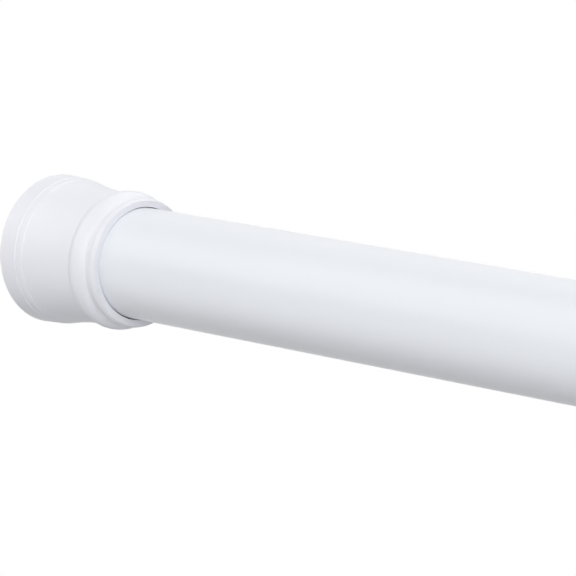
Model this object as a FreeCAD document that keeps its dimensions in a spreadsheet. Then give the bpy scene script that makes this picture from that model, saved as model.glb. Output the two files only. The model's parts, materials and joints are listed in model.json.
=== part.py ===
import FreeCAD, Part
import math
import os

import Sketcher
from FreeCAD import Placement, Rotation, Vector

# Spring tension rod: two white tubes that telescope between two walls.
# Inside, a screw-driven wedge spreads a split sleeve against the outer tube's bore, and a compression spring
# between that lock and the inner tube keeps the rubber feet pressed on the walls.
# Origin at the middle of the left foot's wall face, +X along the rod, +Z up, millimetres.
# The rod stands at its shortest length with the lock tight, and every radius is taken from the tubes.

SHEET = "Sizes"

SIZES = (
    ("tube_dia", 25.4, "outer tube, outside diameter"),
    ("outer_wall", 0.7, "outer tube, wall"),
    ("outer_length", 521.5, "outer tube, length"),
    ("tube_gap", 0.9, "gap between the two tubes, on the radius"),
    ("inner_wall", 0.7, "inner tube, wall"),
    ("inner_length", 516.3, "inner tube, length"),
    ("crimp_depth", 0.7, "rolled crimp, depth"),
    ("crimp_floor", 1.6, "rolled crimp, width of its floor"),
    ("crimp_slope", 0.8, "rolled crimp, length of each sloping side"),
    ("crimp_play", 0.15, "clearance round a crimp, in the plug's groove"),
    ("foot_floor", 4.0, "foot, rubber between wall and plug"),
    ("foot_skirt", 16.0, "foot, length of the skirt round the tube"),
    ("foot_edge", 0.8, "foot, round at the wall face"),
    ("tread_inset", 1.0, "foot, outermost grip groove inside the tube's radius"),
    ("tread_step", 3.0, "foot, distance between grip grooves"),
    ("tread_width", 1.0, "foot, width of a grip groove"),
    ("tread_depth", 0.8, "foot, depth of a grip groove"),
    ("plug_flange", 2.5, "end plug, thickness of the flange"),
    ("plug_depth", 14.0, "end plug, length in the tube"),
    ("plug_wall", 1.8, "end plug, wall of the cup"),
    ("plug_web", 1.6, "end plug, thickness of the crossed webs"),
    ("plug_lead", 0.8, "lead-in chamfer of the plugs"),
    ("cap_setback", 1.0, "cap, distance of the rim from the wall"),
    ("cap_length", 30.3, "cap, length"),
    ("cap_wall", 1.35, "cap, wall"),
    ("cap_play", 0.1, "least clearance between cap and foot"),
    ("rim_flare", 4.5, "cap, height of the rim over the outer tube"),
    ("rim_edge", 0.6, "cap, round of the rim"),
    ("rim_band", 5.05, "cap, length of the plain rim band"),
    ("rim_draft", 0.25, "cap, radius lost along the rim band"),
    ("line_width", 0.5, "cap, width of a fine moulded line"),
    ("line_depth", 0.3, "cap, depth of a fine moulded line"),
    ("ring_width", 1.7, "cap, width of the ring between the fine lines"),
    ("ring_drop", 0.25, "cap, radius lost along the ring"),
    ("ring_step", 0.05, "cap, radius lost across a fine line"),
    ("ring_bend", 3.7, "cap, radius of the ring's crown"),
    ("bell_bend", 72.0, "cap, radius of the hollow bell"),
    ("neck_rise", 2.5, "cap, height of the neck over the tube"),
    ("bead_rise", 3.25, "cap, height of the bead over the tube"),
    ("bead_bend", 2.9, "cap, radius of the bead"),
    ("bead_inset", 6.1, "cap, distance of the bead's crest from the mouth"),
    ("valley_rise", 1.6, "cap, height of the valley over the tube"),
    ("lip_rise", 2.1, "cap, height of the lip over the tube"),
    ("lip_bend", 1.7, "cap, radius of the lip"),
    ("lip_inset", 1.15, "cap, distance of the lip's crest from the mouth"),
    ("mouth_play", 0.02, "cap, least clearance of the mouth round the tube"),
    ("mouth_edge", 0.1, "cap, round inside the mouth"),
    ("mouth_depth", 8.5, "cap, length of the mouth's bore"),
    ("cap_hang", 0.08, "cap, drop below the tube's axis as it rests on the tube"),
    ("cap_shift", 0.19, "cap, shift to the back as it rests on the tube"),
    ("bush_depth", 34.0, "mouth bush, length in the outer tube"),
    ("bush_play", 0.15, "mouth bush, clearance round the inner tube"),
    ("bush_collar", 3.0, "mouth bush, length of the collar"),
    ("bush_rise", 0.9, "mouth bush, height of the collar over the tube"),
    ("bush_edge", 0.6, "mouth bush, round of the collar"),
    ("lock_gap", 4.0, "least gap between the left plug and the spindle, rod closed"),
    ("bare_length", 45.0, "least length of inner tube left bare, rod closed"),
    ("spindle_dia", 8.0, "spindle, diameter"),
    ("spindle_flats", 6.4, "spindle, size across the flats"),
    ("spindle_edge", 0.6, "spindle, chamfer at the tip"),
    ("spindle_tail", 2.0, "spindle, length past the push nut"),
    ("tenon_dia", 6.0, "spindle, diameter of the tenon in the follower"),
    ("collar_dia", 14.0, "spindle, diameter of the collar"),
    ("collar_width", 2.5, "spindle, thickness of the collar"),
    ("clip_inset", 1.8, "clip groove, distance from the tip"),
    ("clip_bite", 0.8, "clip groove, depth"),
    ("clip_width", 1.0, "clip, thickness"),
    ("clip_rise", 2.5, "clip, height over the spindle"),
    ("clip_mouth", 5.6, "clip, width of the opening"),
    ("run_play", 0.1, "running clearance of flat faces and shafts"),
    ("unlock_travel", 3.0, "wedge nut, travel from tight to loose"),
    ("stop_play", 0.3, "wedge nut, clearance left at the clip"),
    ("nut_land", 3.0, "wedge nut, length of the plain land"),
    ("nut_cone", 11.0, "wedge nut, length of the cone"),
    ("nut_stand", 0.5, "wedge nut, cone left outside the sleeve"),
    ("nut_thread_play", 0.05, "wedge nut, clearance round the thread"),
    ("wedge_taper", 0.12, "radius lost for each millimetre of cone"),
    ("wedge_play", 0.1, "clearance between cone and sleeve"),
    ("key_width", 1.6, "wedge nut, thickness of a key"),
    ("key_length", 8.0, "wedge nut, length of a key"),
    ("key_play", 0.2, "clearance beside and above a key"),
    ("sleeve_play", 0.05, "sleeve, clearance in the outer tube"),
    ("finger_wall", 1.35, "sleeve, wall at the fingers' tips"),
    ("finger_length", 20.0, "sleeve, length of the fingers"),
    ("finger_taper", 13.0, "sleeve, length of the tapered bore"),
    ("sleeve_base", 5.0, "sleeve, length of the base"),
    ("grip_first", 4.0, "sleeve, first grip line from the tips"),
    ("grip_step", 2.6, "sleeve, distance between grip lines"),
    ("grip_width", 0.7, "sleeve, width of a grip line"),
    ("grip_depth", 0.3, "sleeve, depth of a grip line"),
    ("drag_section", 1.6, "drag ring, thickness"),
    ("drag_play", 0.08, "drag ring, clearance to the tube and in its groove"),
    ("washer_width", 1.0, "thrust washer, thickness"),
    ("washer_rise", 1.0, "thrust washer, radius over the collar's"),
    ("spring_travel", 20.0, "inner tube, travel against the spring"),
    ("travel_spare", 1.5, "clearance left at full spring travel"),
    ("guide_flange", 3.0, "guide plug, thickness of the flange"),
    ("guide_play", 0.2, "guide plug, clearance in the outer tube"),
    ("guide_depth", 16.0, "guide plug, length in the inner tube"),
    ("follower_disc", 4.0, "follower, thickness of the disc"),
    ("follower_play", 0.3, "follower, clearance in the inner tube"),
    ("spigot_length", 6.0, "length of the spigots that centre the spring"),
    ("spigot_play", 0.9, "clearance between spigot and spring"),
    ("push_nut_width", 0.6, "push nut, thickness"),
    ("push_nut_rise", 2.0, "push nut, height over the tenon"),
    ("push_nut_slit", 0.7, "push nut, width of a slit"),
    ("spring_length", 80.0, "spring, length in the rod"),
    ("spring_wire", 1.8, "spring, wire diameter"),
    ("spring_pitch", 6.2, "spring, pitch of the turns"),
    ("spring_play", 1.9, "spring, clearance in the inner tube"),
    ("seat_length", 10.0, "spring seat, length"),
)

TREAD_COUNT = 3
GRIP_COUNT = 5
SLIT_COUNT = 6

# A cut that goes right through reaches this many times the size of the piece.
THROUGH = 4

# An arc of an outline either rounds the solid or hollows it.
ROUND = -1
HOLLOW = 1


class Dim:
    """A length that carries its number and the sheet expression that gives it."""

    def __init__(self, value, text):
        self.value = float(value)
        self.text = text

    @staticmethod
    def of(other):
        if isinstance(other, Dim):
            return other
        return Dim(other, str(float(other)))

    def join(self, sign, other, value):
        return Dim(value, "(" + self.text + " " + sign + " " + other.text + ")")

    def __add__(self, other):
        other = Dim.of(other)
        return self.join("+", other, self.value + other.value)

    def __sub__(self, other):
        other = Dim.of(other)
        return self.join("-", other, self.value - other.value)

    def __mul__(self, other):
        other = Dim.of(other)
        return self.join("*", other, self.value * other.value)

    def __truediv__(self, other):
        other = Dim.of(other)
        return self.join("/", other, self.value / other.value)


def root(dim):
    """Square root of a Dim."""
    return Dim(math.sqrt(dim.value), "sqrt(" + dim.text + ")")


def larger(one, other):
    """The larger of two Dims."""
    return Dim(max(one.value, other.value), "max(" + one.text + "; " + other.text + ")")


def half_chord(radius, height):
    """Half the width of a circle of this radius, at this height over its centre."""
    return root(radius * radius - height * height)


doc = FreeCAD.newDocument("TensionRod")


def make_sheet():
    """Fill the spreadsheet and return its sizes as Dims, by name."""
    sheet = doc.addObject("Spreadsheet::Sheet", SHEET)
    for row, (name, value, meaning) in enumerate(SIZES, start=1):
        sheet.set("A" + str(row), meaning)
        sheet.set("B" + str(row), str(value))
        sheet.setAlias("B" + str(row), name)
    doc.recompute()
    return {name: Dim(sheet.get(name), SHEET + "." + name) for name, _, _ in SIZES}


class Sizes:
    """The sheet's sizes and what follows from them: radii first, then places along the rod."""

    def __init__(self, named):
        self.__dict__.update(named)
        self.set_radii()
        self.set_places()

    def set_radii(self):
        self.tube_r = self.tube_dia / 2
        self.bore_r = self.tube_r - self.outer_wall
        self.inner_r = self.bore_r - self.tube_gap
        self.inner_bore_r = self.inner_r - self.inner_wall
        self.rim_r = self.tube_r + self.rim_flare
        self.cap_lean = root(self.cap_hang * self.cap_hang + self.cap_shift * self.cap_shift)
        self.spindle_r = self.spindle_dia / 2
        self.tenon_r = self.tenon_dia / 2
        self.collar_r = self.collar_dia / 2
        self.clip_groove_r = self.spindle_r - self.clip_bite
        self.sleeve_r = self.bore_r - self.sleeve_play
        self.sleeve_mouth_r = self.sleeve_r - self.finger_wall
        self.wire_r = self.spring_wire / 2
        self.spring_r = self.inner_bore_r - self.spring_play - self.wire_r
        self.spigot_r = self.spring_r - self.wire_r - self.spigot_play

    def set_places(self):
        """Places of the outer tube's pieces, then of the lock and the inner tube, which close together."""
        self.left_plug_x = self.foot_floor
        self.outer_x = self.left_plug_x + self.plug_flange
        self.mouth_x = self.outer_x + self.outer_length
        self.set_spindle_offsets()
        stopped_by_plug = self.outer_x + self.plug_depth + self.lock_gap
        cap_end = self.mouth_x + self.bush_collar + self.bare_length + self.cap_length + self.cap_setback
        stopped_by_cap = cap_end - self.rod_end_at
        self.spindle_x = larger(stopped_by_plug, stopped_by_cap)
        self.rod_length = self.spindle_x + self.rod_end_at

    def set_spindle_offsets(self):
        """Distances from the spindle's tip to what is strung along it and in the inner tube."""
        self.clip_slot = self.clip_width + self.run_play
        self.clip_at = self.clip_inset + self.run_play / 2
        self.nut_at = self.clip_inset + self.clip_slot + self.unlock_travel + self.stop_play
        self.sleeve_at = self.nut_at + self.nut_land + self.nut_stand
        self.sleeve_length = self.finger_length + self.sleeve_base
        self.drag_at = self.sleeve_at + self.finger_length + self.sleeve_base / 2
        self.washer_at = self.sleeve_at + self.sleeve_length
        self.collar_at = self.washer_at + self.washer_width
        self.shaft_at = self.collar_at + self.collar_width
        self.guide_at = self.shaft_at + self.spring_travel + self.travel_spare
        self.inner_at = self.guide_at + self.guide_flange
        self.follower_at = self.inner_at + self.guide_depth + self.run_play
        self.spring_at = self.follower_at + self.follower_disc
        self.push_nut_at = self.spring_at + self.spigot_length
        self.seat_at = self.spring_at + self.spring_length
        self.right_plug_at = self.inner_at + self.inner_length + self.plug_flange
        self.rod_end_at = self.right_plug_at + self.foot_floor


dims = Sizes(make_sheet())


def origin_feature(body, role):
    """One of a body's own origin planes or axes."""
    return next(item for item in body.Origin.OriginFeatures if item.Role == role)


def new_body(label, place=None, turned=False):
    """An empty body at the origin or at a place along the rod; a turned body faces the other way."""
    body = doc.addObject("PartDesign::Body", label)
    body.Label = label
    body.Placement = Placement(Vector(0, 0, 0), Rotation(Vector(0, 0, 1), 180 if turned else 0))
    if place is not None:
        body.setExpression("Placement.Base.x", place.text)
    return body


def new_sketch(body, name, role="XY_Plane", offset=None):
    """A sketch on one of the body's origin planes, moved along the plane's normal by an offset."""
    sketch = body.newObject("Sketcher::SketchObject", name)
    sketch.AttachmentSupport = (origin_feature(body, role), [""])
    sketch.MapMode = "FlatFace"
    if offset is not None:
        sketch.AttachmentOffset = Placement(Vector(0, 0, offset.value), Rotation())
        sketch.setExpression("AttachmentOffset.Base.z", offset.text)
    return sketch


def bind(sketch, name, constraint, dim):
    """Add a driving constraint and bind it to its size."""
    index = sketch.addConstraint(constraint)
    sketch.renameConstraint(index, name)
    sketch.setExpression("Constraints." + name, dim.text)


def fix_point(sketch, geometry, point, across, up, tag):
    """Fix a point by its distances from the sketch's origin; a plain 0 puts it on the axis."""
    if isinstance(across, Dim):
        constraint = Sketcher.Constraint("DistanceX", -1, 1, geometry, point, across.value)
        bind(sketch, "across" + tag, constraint, across)
    else:
        sketch.addConstraint(Sketcher.Constraint("PointOnObject", geometry, point, -2))
    if isinstance(up, Dim):
        constraint = Sketcher.Constraint("DistanceY", -1, 1, geometry, point, up.value)
        bind(sketch, "up" + tag, constraint, up)
    else:
        sketch.addConstraint(Sketcher.Constraint("PointOnObject", geometry, point, -1))


def arc_edge(start, end, radius, side):
    """The short arc between two points, and the numbers of its ends in the outline's direction."""
    chord = end - start
    middle = (start + end) / 2
    left = Vector(-chord.y, chord.x, 0).normalize()
    reach = math.sqrt(radius * radius - chord.Length * chord.Length / 4)
    centre = middle + left * (reach * side)
    first = math.atan2(start.y - centre.y, start.x - centre.x)
    last = math.atan2(end.y - centre.y, end.x - centre.x)
    circle = Part.Circle(centre, Vector(0, 0, 1), radius)
    if side == HOLLOW:
        return Part.ArcOfCircle(circle, first, last), (1, 2)
    return Part.ArcOfCircle(circle, last, first), (2, 1)


def draw_outline(sketch, corners):
    """A closed outline, clockwise: each corner is (x, radius), or (x, radius, arc radius, ROUND or HOLLOW)
    where an arc leaves it."""
    points = [Vector(Dim.of(corner[0]).value, Dim.of(corner[1]).value, 0) for corner in corners]
    ends = []
    for index, corner in enumerate(corners):
        start = points[index]
        end = points[(index + 1) % len(points)]
        if len(corner) > 2:
            edge, edge_ends = arc_edge(start, end, corner[2].value, corner[3])
        else:
            edge, edge_ends = Part.LineSegment(start, end), (1, 2)
        sketch.addGeometry(edge)
        ends.append(edge_ends)
    for index, corner in enumerate(corners):
        before = index - 1 if index else len(corners) - 1
        start = ends[index][0]
        sketch.addConstraint(Sketcher.Constraint("Coincident", before, ends[before][1], index, start))
        fix_point(sketch, index, start, corner[0], corner[1], str(index))
        if len(corner) > 2:
            bend = corner[2]
            bind(sketch, "bend" + str(index), Sketcher.Constraint("Radius", index, bend.value), bend)


def turn(body, corners):
    """Turn an outline about the rod's axis."""
    sketch = new_sketch(body, body.Name + "_profile")
    draw_outline(sketch, corners)
    feature = body.newObject("PartDesign::Revolution", body.Name + "_turned")
    feature.Profile = sketch
    feature.ReferenceAxis = (origin_feature(body, "X_Axis"), [""])
    feature.Angle = 360
    return feature


def draw_circle(sketch, radius, name="radius"):
    """A circle about the sketch's origin."""
    index = sketch.addGeometry(Part.Circle(Vector(0, 0, 0), Vector(0, 0, 1), radius.value))
    sketch.addConstraint(Sketcher.Constraint("Coincident", index, 3, -1, 1))
    bind(sketch, name, Sketcher.Constraint("Radius", index, radius.value), radius)


def draw_box(sketch, left, right, top, length, width):
    """Four sides, square to the sketch's axes, as far above its first axis as below."""
    corners = [Vector(left, -top, 0), Vector(right, -top, 0), Vector(right, top, 0), Vector(left, top, 0)]
    for index, corner in enumerate(corners):
        sketch.addGeometry(Part.LineSegment(corner, corners[(index + 1) % 4]))
    for index in range(4):
        sketch.addConstraint(Sketcher.Constraint("Coincident", index, 2, (index + 1) % 4, 1))
    for index, name in enumerate(("Horizontal", "Vertical", "Horizontal", "Vertical")):
        sketch.addConstraint(Sketcher.Constraint(name, index))
    bind(sketch, "length", Sketcher.Constraint("DistanceX", 0, 1, 0, 2, length.value), length)
    bind(sketch, "width", Sketcher.Constraint("DistanceY", 1, 1, 1, 2, width.value), width)


def draw_slot(sketch, length, width):
    """A slot that starts at the sketch's origin and runs along its first axis."""
    draw_box(sketch, 0, length.value, width.value / 2, length, width)
    sketch.addConstraint(Sketcher.Constraint("PointOnObject", 0, 1, -2))
    bind(sketch, "below", Sketcher.Constraint("DistanceY", 0, 1, -1, 1, width.value / 2), width / 2)


def draw_bar(sketch, length, width):
    """A bar centred on the sketch's origin."""
    draw_box(sketch, -length.value / 2, length.value / 2, width.value / 2, length, width)
    sketch.addConstraint(Sketcher.Constraint("Symmetric", 0, 1, 2, 1, -1, 1))


def draw_double_flat(sketch, radius, across):
    """A circle with two flats, the flats lying along the sketch's first axis."""
    half = across.value / 2
    reach = math.sqrt(radius.value ** 2 - half ** 2)
    angle = math.atan2(half, reach)
    circle = Part.Circle(Vector(0, 0, 0), Vector(0, 0, 1), radius.value)
    sketch.addGeometry(Part.LineSegment(Vector(reach, half, 0), Vector(-reach, half, 0)))
    sketch.addGeometry(Part.ArcOfCircle(circle, math.pi - angle, math.pi + angle))
    sketch.addGeometry(Part.LineSegment(Vector(-reach, -half, 0), Vector(reach, -half, 0)))
    sketch.addGeometry(Part.ArcOfCircle(circle, -angle, angle))
    for index in range(4):
        sketch.addConstraint(Sketcher.Constraint("Coincident", index, 2, (index + 1) % 4, 1))
    for arc in (1, 3):
        sketch.addConstraint(Sketcher.Constraint("Coincident", arc, 3, -1, 1))
    for flat in (0, 2):
        sketch.addConstraint(Sketcher.Constraint("Horizontal", flat))
    sketch.addConstraint(Sketcher.Constraint("Equal", 1, 3))
    bind(sketch, "radius", Sketcher.Constraint("Radius", 1, radius.value), radius)
    bind(sketch, "above", Sketcher.Constraint("DistanceY", -1, 1, 0, 1, half), across / 2)
    bind(sketch, "below", Sketcher.Constraint("DistanceY", 2, 1, -1, 1, half), across / 2)


def pad(body, sketch, length):
    """Raise a sketch along its normal."""
    feature = body.newObject("PartDesign::Pad", sketch.Name + "_pad")
    feature.Profile = sketch
    feature.setExpression("Length", length.text)
    return feature


def cut(body, sketch, length):
    """Cut a sketch out to both sides of its plane, over a length in all."""
    feature = body.newObject("PartDesign::Pocket", sketch.Name + "_cut")
    feature.Profile = sketch
    feature.SideType = "Symmetric"
    feature.setExpression("Length", length.text)
    return feature


def crimp_corners(middle, radius):
    """A rolled crimp in a tube's surface, from left to right."""
    near = dims.crimp_floor / 2
    far = near + dims.crimp_slope
    floor = radius - dims.crimp_depth
    return [(middle - far, radius), (middle - near, floor), (middle + near, floor), (middle + far, radius)]


def crimp_groove(middle, radius):
    """The plain groove in a plug that a crimp is rolled into."""
    half = dims.crimp_floor / 2 + dims.crimp_slope + dims.crimp_play
    floor = radius - dims.crimp_depth - dims.crimp_play
    return [(middle - half, radius), (middle - half, floor), (middle + half, floor), (middle + half, radius)]


def make_outer_tube():
    body = new_body("outer_tube", dims.outer_x)
    turn(body, [
        (0, dims.bore_r),
        (0, dims.tube_r),
        (dims.outer_length, dims.tube_r),
        (dims.outer_length, dims.bore_r),
    ])
    return body


def make_inner_tube():
    """The inner tube, with a rolled crimp at the guide plug and one at the spring seat."""
    body = new_body("inner_tube", dims.spindle_x + dims.inner_at)
    guide = dims.guide_depth / 2
    seat = dims.seat_at + dims.seat_length / 2 - dims.inner_at
    corners = [(0, dims.inner_bore_r), (0, dims.inner_r)]
    corners += crimp_corners(guide, dims.inner_r)
    corners += crimp_corners(seat, dims.inner_r)
    corners += [(dims.inner_length, dims.inner_r), (dims.inner_length, dims.inner_bore_r)]
    corners += reversed(crimp_corners(seat, dims.inner_bore_r))
    corners += reversed(crimp_corners(guide, dims.inner_bore_r))
    turn(body, corners)
    return body


class CapForm:
    """The radii and lengths of the cap and foot that fit one tube, measured from the cap's rim."""

    def __init__(self, tube_r):
        self.neck_r = tube_r + dims.neck_rise
        self.bead_r = tube_r + dims.bead_rise
        self.valley_r = tube_r + dims.valley_rise
        self.lip_r = tube_r + dims.lip_rise
        self.mouth_r = tube_r + dims.cap_lean + dims.mouth_play
        self.band_end_r = dims.rim_r - dims.rim_draft
        self.ring_start_r = self.band_end_r - dims.ring_step
        self.ring_end_r = self.ring_start_r - dims.ring_drop
        self.bell_start_r = self.ring_end_r - dims.ring_step
        self.shoulder = dims.cap_length - dims.mouth_depth
        self.hollow_rim_r = dims.rim_r - dims.cap_wall
        self.hollow_neck_r = self.neck_r - dims.cap_wall

    def hollow_r(self, depth):
        """Radius of the cap's tapered hollow, at a depth from the rim."""
        lost = (self.hollow_rim_r - self.hollow_neck_r) * depth / self.shoulder
        return self.hollow_rim_r - lost


def make_end_cap(label, place, tube_r, turned):
    """The bell-shaped cover: rim band, two fine lines with a ring between them, bell, bead and lip.
    It fits loosely and rests on the tube's front and top, so its mouth is open below and at the back."""
    body = new_body(label, place, turned)
    body.setExpression("Placement.Base.y", dims.cap_shift.text)
    body.setExpression("Placement.Base.z", "-" + dims.cap_hang.text)
    form = CapForm(tube_r)
    line_half = dims.line_width / 2
    ring_start = dims.rim_band + dims.line_width
    ring_end = ring_start + dims.ring_width
    bell_start = ring_end + dims.line_width
    bead = dims.cap_length - dims.bead_inset
    bead_centre_r = form.bead_r - dims.bead_bend
    lip = dims.cap_length - dims.lip_inset
    lip_centre_r = form.lip_r - dims.lip_bend
    lip_end_r = lip_centre_r + half_chord(dims.lip_bend, dims.lip_inset)
    turn(body, [
        (0, form.hollow_rim_r),
        (0, dims.rim_r - dims.rim_edge, dims.rim_edge, ROUND),
        (dims.rim_edge, dims.rim_r),
        (dims.rim_band, form.band_end_r),
        (dims.rim_band + line_half, form.band_end_r - dims.line_depth),
        (ring_start, form.ring_start_r, dims.ring_bend, ROUND),
        (ring_end, form.ring_end_r),
        (ring_end + line_half, form.ring_end_r - dims.line_depth),
        (bell_start, form.bell_start_r, dims.bell_bend, HOLLOW),
        (bead - half_chord(dims.bead_bend, form.neck_r - bead_centre_r), form.neck_r, dims.bead_bend, ROUND),
        (bead + half_chord(dims.bead_bend, form.valley_r - bead_centre_r), form.valley_r),
        (lip - half_chord(dims.lip_bend, form.valley_r - lip_centre_r), form.valley_r, dims.lip_bend, ROUND),
        (dims.cap_length, lip_end_r),
        (dims.cap_length, form.mouth_r + dims.mouth_edge, dims.mouth_edge, ROUND),
        (dims.cap_length - dims.mouth_edge, form.mouth_r),
        (form.shoulder, form.mouth_r),
        (form.shoulder, form.hollow_neck_r),
    ])
    return body


def make_foot(label, place, tube_r, turned):
    """The rubber foot: a floor with round grip grooves, and a tapered skirt over the tube's end."""
    body = new_body(label, place, turned)
    form = CapForm(tube_r)
    skirt_end = dims.foot_floor + dims.foot_skirt
    gap = dims.cap_lean + dims.cap_play
    shoulder_r = form.hollow_r(dims.foot_edge - dims.cap_setback) - gap
    skirt_r = form.hollow_r(skirt_end - dims.cap_setback) - gap
    corners = [(dims.foot_floor, 0), (0, 0)]
    for index in reversed(range(TREAD_COUNT)):
        middle = tube_r - dims.tread_inset - dims.tread_step * index
        inside = middle - dims.tread_width / 2
        outside = middle + dims.tread_width / 2
        corners += [(0, inside), (dims.tread_depth, inside), (dims.tread_depth, outside), (0, outside)]
    corners += [
        (0, shoulder_r - dims.foot_edge, dims.foot_edge, ROUND),
        (dims.foot_edge, shoulder_r),
        (skirt_end, skirt_r),
        (skirt_end, tube_r),
        (dims.foot_floor, tube_r),
    ]
    turn(body, corners)
    return body


def make_end_plug(label, place, tube_r, bore_r, turned):
    """The plug that closes a tube: a flange, and a cup stiffened by crossed webs."""
    body = new_body(label, place, turned)
    cup_r = bore_r - dims.plug_wall
    end = dims.plug_flange + dims.plug_depth
    turn(body, [
        (0, 0),
        (0, tube_r),
        (dims.plug_flange, tube_r),
        (dims.plug_flange, bore_r),
        (end - dims.plug_lead, bore_r),
        (end, bore_r - dims.plug_lead),
        (end, cup_r),
        (dims.plug_flange, cup_r),
        (dims.plug_flange, 0),
    ])
    span = cup_r * 2 + dims.plug_wall
    for name, length, width in (("_web", span, dims.plug_web), ("_cross_web", dims.plug_web, span)):
        sketch = new_sketch(body, label + name, "YZ_Plane", dims.plug_flange)
        draw_bar(sketch, length, width)
        pad(body, sketch, dims.plug_depth - dims.plug_lead)
    return body


def make_mouth_bush():
    """The guide sleeve in the outer tube's mouth, with a rounded collar outside."""
    body = new_body("mouth_bush", dims.mouth_x - dims.bush_depth)
    slide_r = dims.inner_r + dims.bush_play
    collar_r = dims.tube_r + dims.bush_rise
    end = dims.bush_depth + dims.bush_collar
    turn(body, [
        (0, slide_r),
        (0, dims.bore_r),
        (dims.bush_depth, dims.bore_r),
        (dims.bush_depth, collar_r),
        (end - dims.bush_edge, collar_r, dims.bush_edge, ROUND),
        (end, collar_r - dims.bush_edge),
        (end, slide_r),
    ])
    return body


def make_lock_sleeve():
    """The split sleeve: four fingers with grip lines and a tapered bore, and a base for the drag ring."""
    body = new_body("lock_sleeve", dims.spindle_x + dims.sleeve_at)
    shaft_r = dims.spindle_r + dims.run_play
    cavity_r = dims.sleeve_mouth_r - dims.wedge_taper * dims.finger_taper
    drag = dims.finger_length + dims.sleeve_base / 2
    drag_half = dims.drag_section / 2 + dims.drag_play
    drag_floor = dims.bore_r - dims.drag_section - dims.drag_play * 2
    corners = [(0, dims.sleeve_mouth_r), (0, dims.sleeve_r)]
    for index in range(GRIP_COUNT):
        start = dims.grip_first + dims.grip_step * index
        corners += [
            (start, dims.sleeve_r),
            (start + dims.grip_width / 2, dims.sleeve_r - dims.grip_depth),
            (start + dims.grip_width, dims.sleeve_r),
        ]
    corners += [
        (drag - drag_half, dims.sleeve_r),
        (drag - drag_half, drag_floor),
        (drag + drag_half, drag_floor),
        (drag + drag_half, dims.sleeve_r),
        (dims.sleeve_length, dims.sleeve_r),
        (dims.sleeve_length, shaft_r),
        (dims.finger_length, shaft_r),
        (dims.finger_length, cavity_r),
        (dims.finger_taper, cavity_r),
    ]
    turn(body, corners)
    for name, role in (("lock_sleeve_slot", "XY_Plane"), ("lock_sleeve_cross_slot", "XZ_Plane")):
        sketch = new_sketch(body, name, role)
        draw_slot(sketch, dims.finger_length, dims.key_width + dims.key_play * 2)
        cut(body, sketch, dims.tube_dia * THROUGH)
    return body


def make_drag_ring():
    """The rubber ring in the sleeve's groove."""
    ring = doc.addObject("Part::Torus", "drag_ring")
    ring.Label = "drag_ring"
    place = dims.spindle_x + dims.drag_at
    ring_r = dims.bore_r - dims.drag_play - dims.drag_section / 2
    ring.setExpression("Radius1", ring_r.text)
    ring.setExpression("Radius2", (dims.drag_section / 2).text)
    ring.Placement = Placement(Vector(0, 0, 0), Rotation(Vector(0, 1, 0), 90))
    ring.setExpression("Placement.Base.x", place.text)
    return ring


def make_wedge_nut():
    """The cone nut, with four keys that ride in the sleeve's slots."""
    body = new_body("wedge_nut", dims.spindle_x + dims.nut_at)
    length = dims.nut_land + dims.nut_cone
    land_r = dims.sleeve_mouth_r - dims.wedge_play + dims.wedge_taper * dims.nut_stand
    end_r = land_r - dims.wedge_taper * dims.nut_cone
    turn(body, [(0, 0), (0, land_r), (dims.nut_land, land_r), (length, end_r), (length, 0)])
    key_start = dims.nut_land + dims.nut_stand
    key_span = (dims.sleeve_r - dims.key_play) * 2
    for name, wide, high in (("_key", key_span, dims.key_width), ("_cross_key", dims.key_width, key_span)):
        sketch = new_sketch(body, "wedge_nut" + name, "YZ_Plane", key_start)
        draw_bar(sketch, wide, high)
        pad(body, sketch, dims.key_length)
    bore = new_sketch(body, "wedge_nut_bore", "YZ_Plane")
    draw_circle(bore, dims.spindle_r + dims.nut_thread_play)
    cut(body, bore, length * THROUGH)
    return body


def make_lock_spindle():
    """The spindle: threaded end with the clip's groove, collar, shaft with two flats, and tenon."""
    body = new_body("lock_spindle", dims.spindle_x)
    groove_end = dims.clip_inset + dims.clip_slot
    turn(body, [
        (0, 0),
        (0, dims.spindle_r - dims.spindle_edge),
        (dims.spindle_edge, dims.spindle_r),
        (dims.clip_inset, dims.spindle_r),
        (dims.clip_inset, dims.clip_groove_r),
        (groove_end, dims.clip_groove_r),
        (groove_end, dims.spindle_r),
        (dims.collar_at, dims.spindle_r),
        (dims.collar_at, dims.collar_r),
        (dims.shaft_at, dims.collar_r),
        (dims.shaft_at, 0),
    ])
    flats = new_sketch(body, "lock_spindle_flats", "YZ_Plane", dims.shaft_at)
    draw_double_flat(flats, dims.spindle_r, dims.spindle_flats)
    pad(body, flats, dims.follower_at - dims.shaft_at)
    end = new_sketch(body, "lock_spindle_tenon", "YZ_Plane", dims.follower_at)
    draw_circle(end, dims.tenon_r)
    pad(body, end, dims.follower_disc + dims.spigot_length + dims.push_nut_width + dims.spindle_tail)
    return body


def make_ring(label, place, inside_r, outside_r, width):
    """A flat ring on the spindle."""
    body = new_body(label, place)
    sketch = new_sketch(body, label + "_face", "YZ_Plane")
    draw_circle(sketch, outside_r, "outside")
    draw_circle(sketch, inside_r, "inside")
    pad(body, sketch, width)
    return body


def make_spindle_clip():
    """The retaining clip, a ring that is open on one side."""
    inside_r = dims.clip_groove_r + dims.run_play / 2
    outside_r = dims.spindle_r + dims.clip_rise
    body = make_ring("spindle_clip", dims.spindle_x + dims.clip_at, inside_r, outside_r, dims.clip_width)
    opening = new_sketch(body, "spindle_clip_opening", "YZ_Plane")
    draw_slot(opening, outside_r * THROUGH, dims.clip_mouth)
    cut(body, opening, dims.clip_width * THROUGH)
    return body


def make_thrust_washer():
    inside_r = dims.spindle_r + dims.run_play
    outside_r = dims.collar_r + dims.washer_rise
    place = dims.spindle_x + dims.washer_at
    return make_ring("thrust_washer", place, inside_r, outside_r, dims.washer_width)


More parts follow.
